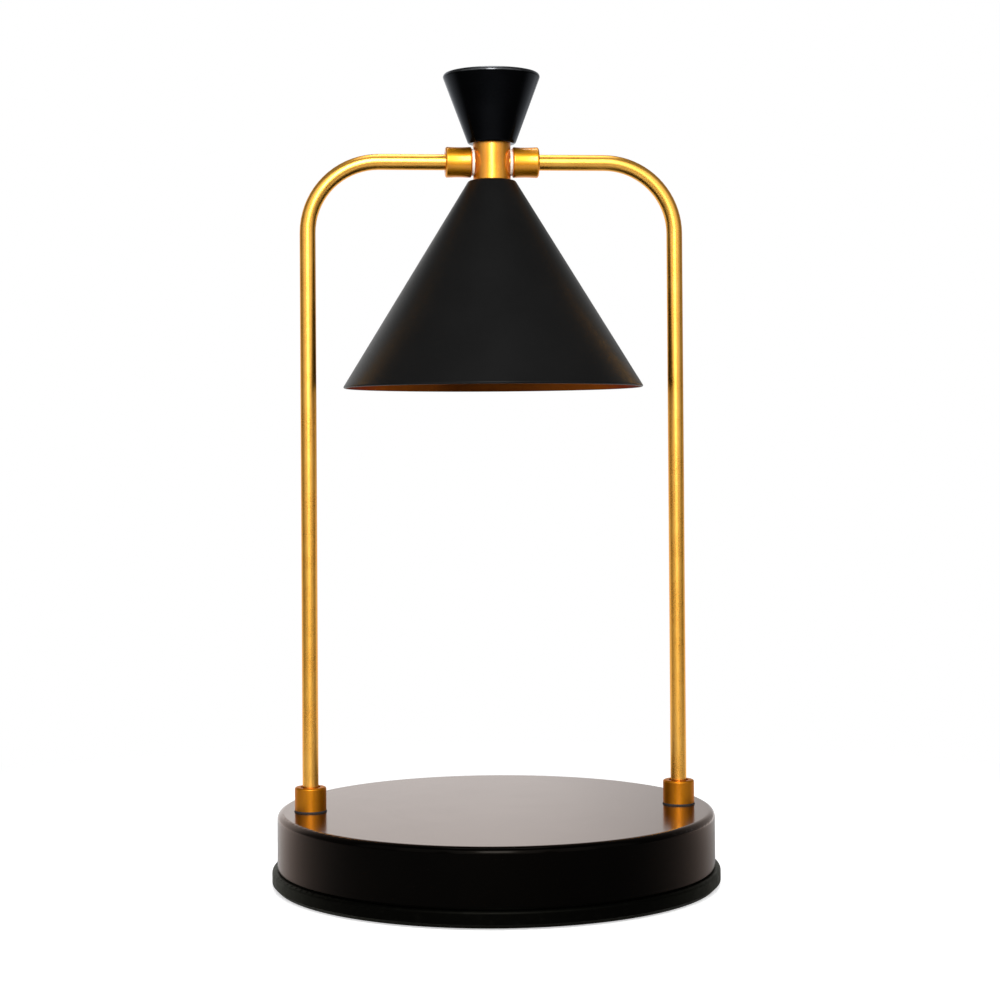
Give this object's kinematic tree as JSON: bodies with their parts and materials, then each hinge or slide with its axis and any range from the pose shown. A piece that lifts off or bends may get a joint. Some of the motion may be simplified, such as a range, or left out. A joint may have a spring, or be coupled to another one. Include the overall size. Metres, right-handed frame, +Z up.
{
  "type": "candle warmer lamp",
  "caption": "Candle warmer lamp: weighted round base, bent tube frame and a tilting hub with a conical shade, finial and twist-lock reflector bulb above the candle space.",
  "frame": {"origin": "centre of the footprint, on the surface the lamp stands on", "axes": "+Z up, +X along the crossbar, -Y towards the front; the cord inlet is on the +Y side"},
  "size_m": [0.169, 0.169, 0.3068],
  "materials": {
    "base_black": "satin baked enamel",
    "tray_black": "soft sheen moulded plastic",
    "foot_rubber": "matte",
    "ballast_iron": "as cast",
    "zinc_steel": "zinc plated",
    "gland_black": "moulded nylon",
    "block_cream": "moulded",
    "gold": "satin gold lacquer",
    "shade_black": "matte enamel outside, copper-brown inside",
    "washer_nylon": "natural nylon",
    "finial_black": "satin black enamel",
    "lead_sheath": "silicone sheath",
    "core_white": "silicone core",
    "mica": "mica sheet",
    "holder_ceramic": "unglazed",
    "contact_brass": "bare",
    "bulb_ceramic": "glazed",
    "pin_nickel": "nickel plated",
    "reflector_glass": "dichroic coated",
    "lens_glass": "clear",
    "capsule_glass": "quartz",
    "tungsten": "coiled wire"
  },
  "bodies": {
    "stand": {"base_shell": "base_black", "bottom_tray": "tray_black", "rubber_feet": "foot_rubber", "ballast_disc": "ballast_iron", "standoffs": "zinc_steel", "tray_screws": "zinc_steel", "cord_gland": "gland_black", "terminal_block": "block_cream", "terminal_screws": "zinc_steel", "block_screw": "zinc_steel", "post_left": "gold", "post_right": "gold", "collar_left": "gold", "collar_right": "gold", "collar_washers": "zinc_steel", "collar_nuts": "zinc_steel", "collar_set_screws": "zinc_steel", "sleeve_left": "gold", "sleeve_right": "gold", "sleeve_set_screws": "zinc_steel", "friction_washers": "washer_nylon", "stand_lead": "lead_sheath"},
    "head": {"hub": "gold", "finial": "finial_black", "finial_stud": "zinc_steel", "shade": "shade_black", "shade_nipple": "zinc_steel", "shade_washer": "zinc_steel", "shade_nut": "zinc_steel", "plate_nut": "zinc_steel", "holder_plate": "zinc_steel", "holder_insulator": "mica", "lamp_holder": "holder_ceramic", "holder_screws": "zinc_steel", "holder_contacts": "contact_brass", "head_leads": "core_white"},
    "bulb": {"bulb_base": "bulb_ceramic", "bulb_pins": "pin_nickel", "bulb_reflector": "reflector_glass", "bulb_lens": "lens_glass", "bulb_capsule": "capsule_glass", "bulb_filament": "tungsten"}
  },
  "joints": [
    {"name": "head_tilt", "type": "hinge", "parent": "stand", "child": "head", "pos_m": [0, 0, 0.273], "axis": [1, 0, 0], "range_deg": [-45, 45]},
    {"name": "bulb_twist", "type": "hinge", "parent": "head", "child": "bulb", "pos_m": [0, 0, 0.2365], "axis": [0, 0, 1], "range_deg": [0, 20]}
  ]
}
